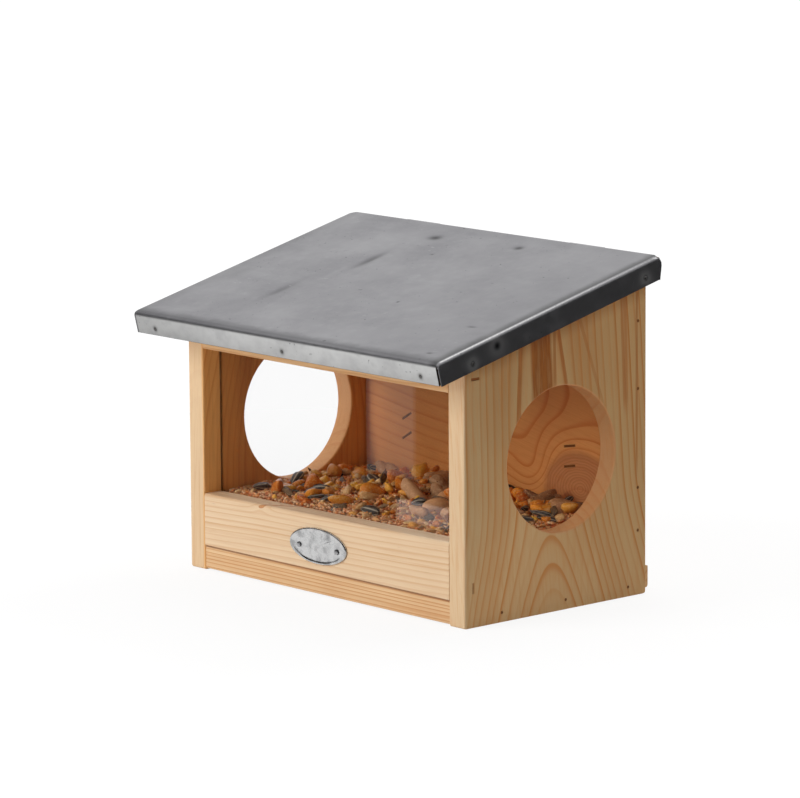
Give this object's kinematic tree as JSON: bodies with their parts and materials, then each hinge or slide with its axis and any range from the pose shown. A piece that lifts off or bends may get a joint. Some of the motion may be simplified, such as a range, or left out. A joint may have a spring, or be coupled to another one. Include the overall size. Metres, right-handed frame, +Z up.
{
  "type": "squirrel feeder box",
  "caption": "Wooden squirrel feeder box with a sloping zinc-clad roof hinged at the back, a clear front window over a bed of feed, and a round way in through each side wall.",
  "frame": {"origin": "bottom centre of the bounding box: on the plane that the side walls stand on, midway between the roof's front edge and the backs of the hanger plates", "axes": "+X to the right of someone facing the window, -Y out of the window front, +Z up"},
  "size_m": [0.2466, 0.1732, 0.1839],
  "materials": {
    "pine": "planed, oiled pine, weathered tan",
    "pale_pine": "planed pale pine",
    "zinc": "dull galvanised sheet, dented and scratched",
    "steel": "plain satin sheet",
    "hinge_steel": "bright zinc-plated pressings",
    "fastener_steel": "plain wire nails, staples and screws",
    "acrylic": "clear, polished",
    "feed": "loose mixed seed, maize and nuts"
  },
  "bodies": {
    "box": {"left_wall": "pine", "right_wall": "pine", "back_wall": "pine", "spacer_batten": "pine", "hanging_batten": "pine", "floor_board": "pale_pine", "front_board": "pale_pine", "top_rail": "pale_pine", "window_pane": "acrylic", "feed_mix": "feed", "badge": "steel", "hanger_left": "steel", "hanger_right": "steel", "hinge_left_wall_leaf": "hinge_steel", "hinge_left_pin": "hinge_steel", "hinge_right_wall_leaf": "hinge_steel", "hinge_right_pin": "hinge_steel", "back_wall_nail_1": "fastener_steel", "back_wall_nail_2": "fastener_steel", "back_wall_nail_3": "fastener_steel", "back_wall_nail_4": "fastener_steel", "back_wall_nail_5": "fastener_steel", "back_wall_nail_6": "fastener_steel", "back_wall_nail_7": "fastener_steel", "back_wall_nail_8": "fastener_steel", "floor_nail_1": "fastener_steel", "floor_nail_2": "fastener_steel", "floor_nail_3": "fastener_steel", "floor_nail_4": "fastener_steel", "floor_nail_5": "fastener_steel", "floor_nail_6": "fastener_steel", "frame_staple_1": "fastener_steel", "frame_staple_2": "fastener_steel", "frame_staple_3": "fastener_steel", "frame_staple_4": "fastener_steel", "batten_staple_1": "fastener_steel", "batten_staple_2": "fastener_steel", "batten_staple_3": "fastener_steel", "batten_staple_4": "fastener_steel", "spacer_nail_1": "fastener_steel", "spacer_nail_2": "fastener_steel", "spacer_nail_3": "fastener_steel", "badge_nail_1": "fastener_steel", "badge_nail_2": "fastener_steel", "hanger_screw_1": "fastener_steel", "hanger_screw_2": "fastener_steel", "hanger_screw_3": "fastener_steel", "hanger_screw_4": "fastener_steel", "hinge_wall_screw_1": "fastener_steel", "hinge_wall_screw_2": "fastener_steel", "hinge_wall_screw_3": "fastener_steel", "hinge_wall_screw_4": "fastener_steel"},
    "roof": {"roof_board": "pine", "roof_sheet": "zinc", "hinge_left_roof_leaf": "hinge_steel", "hinge_right_roof_leaf": "hinge_steel", "hinge_roof_screw_1": "fastener_steel", "hinge_roof_screw_2": "fastener_steel", "hinge_roof_screw_3": "fastener_steel", "hinge_roof_screw_4": "fastener_steel"}
  },
  "joints": [
    {"name": "roof_hinge", "type": "hinge", "parent": "box", "child": "roof", "pos_m": [0, 0.07548, 0.17154], "axis": [-1, 0, 0], "range_deg": [0, 180]}
  ]
}
